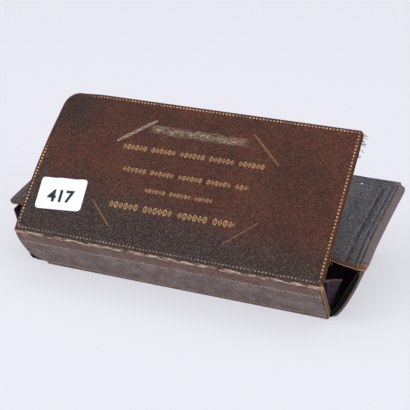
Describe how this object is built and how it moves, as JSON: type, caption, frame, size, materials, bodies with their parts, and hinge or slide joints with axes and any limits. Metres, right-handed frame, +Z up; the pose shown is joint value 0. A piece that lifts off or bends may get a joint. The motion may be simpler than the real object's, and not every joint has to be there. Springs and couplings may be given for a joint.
{
  "type": "surgical instrument case",
  "caption": "Wrap-around leather case for surgical instruments: hinged cover and spines, flared end walls, an inner flap over a padded silk bed, all joined by leather folds.",
  "frame": {"origin": "middle of the base's underside, where the case rests on a table", "axes": "+X along the case to the right seen from the mouth, +Y from the mouth to the rear spine, +Z up"},
  "size_m": [0.239, 0.1306, 0.1011],
  "materials": {
    "brown_leather": "grained brown goatskin, worn, with gilt dots",
    "dark_leather": "rubbed grey-brown leather",
    "grey_leather": "rubbed grey leather with blind-tooled lines",
    "worn_leather": "scuffed light brown leather at folds and edges",
    "pasteboard": "raw pasteboard",
    "purple_silk": "purple watered silk",
    "ribbon": "corded silk ribbon",
    "paper": "matt white paper"
  },
  "bodies": {
    "base": {"base_leather": "dark_leather", "base_board": "pasteboard", "base_lining": "purple_silk", "front_wall_board": "pasteboard", "front_wall_silk": "purple_silk", "base_pad": "purple_silk", "front_loop_ribbon": "ribbon", "rear_loop_ribbon": "ribbon"},
    "front_spine": {"front_spine_leather": "dark_leather", "front_spine_board": "pasteboard", "front_spine_lining": "purple_silk", "front_hinge_fold": "worn_leather"},
    "cover": {"cover_leather": "brown_leather", "cover_board": "pasteboard", "cover_lining": "purple_silk", "cover_fold": "worn_leather", "paper_label": "paper"},
    "rear_spine": {"rear_spine_leather": "dark_leather", "rear_spine_board": "pasteboard", "rear_spine_lining": "purple_silk", "rear_hinge_fold": "worn_leather"},
    "inner_flap": {"inner_flap_leather": "grey_leather", "inner_flap_board": "pasteboard", "inner_flap_lining": "purple_silk", "inner_flap_fold": "worn_leather", "inner_flap_lip": "worn_leather"},
    "left_wall": {"left_wall_leather": "dark_leather", "left_wall_board": "pasteboard", "left_wall_lining": "purple_silk", "left_wall_fold": "worn_leather"},
    "right_wall": {"right_wall_leather": "dark_leather", "right_wall_board": "pasteboard", "right_wall_lining": "purple_silk", "right_wall_fold": "worn_leather"}
  },
  "joints": [
    {"name": "front_spine_fold", "type": "hinge", "parent": "base", "child": "front_spine", "pos_m": [0, -0.05, 0.002], "axis": [1, 0, 0], "range_deg": [-33.5, 55]},
    {"name": "cover_fold", "type": "hinge", "parent": "front_spine", "child": "cover", "pos_m": [0, -0.07009, 0.03212], "axis": [1, 0, 0], "range_deg": [-0.5, 81]},
    {"name": "rear_spine_fold", "type": "hinge", "parent": "base", "child": "rear_spine", "pos_m": [0, 0.05, 0.002], "axis": [-1, 0, 0], "range_deg": [0, 80]},
    {"name": "inner_flap_fold", "type": "hinge", "parent": "rear_spine", "child": "inner_flap", "pos_m": [0, 0.05649, 0.04703], "axis": [-1, 0, 0], "range_deg": [0, 9]},
    {"name": "left_wall_fold", "type": "hinge", "parent": "base", "child": "left_wall", "pos_m": [-0.1018, 0, 0.002], "axis": [0, -1, 0], "range_deg": [0, 60]},
    {"name": "right_wall_fold", "type": "hinge", "parent": "base", "child": "right_wall", "pos_m": [0.1018, 0, 0.002], "axis": [0, 1, 0], "range_deg": [0, 60]}
  ]
}
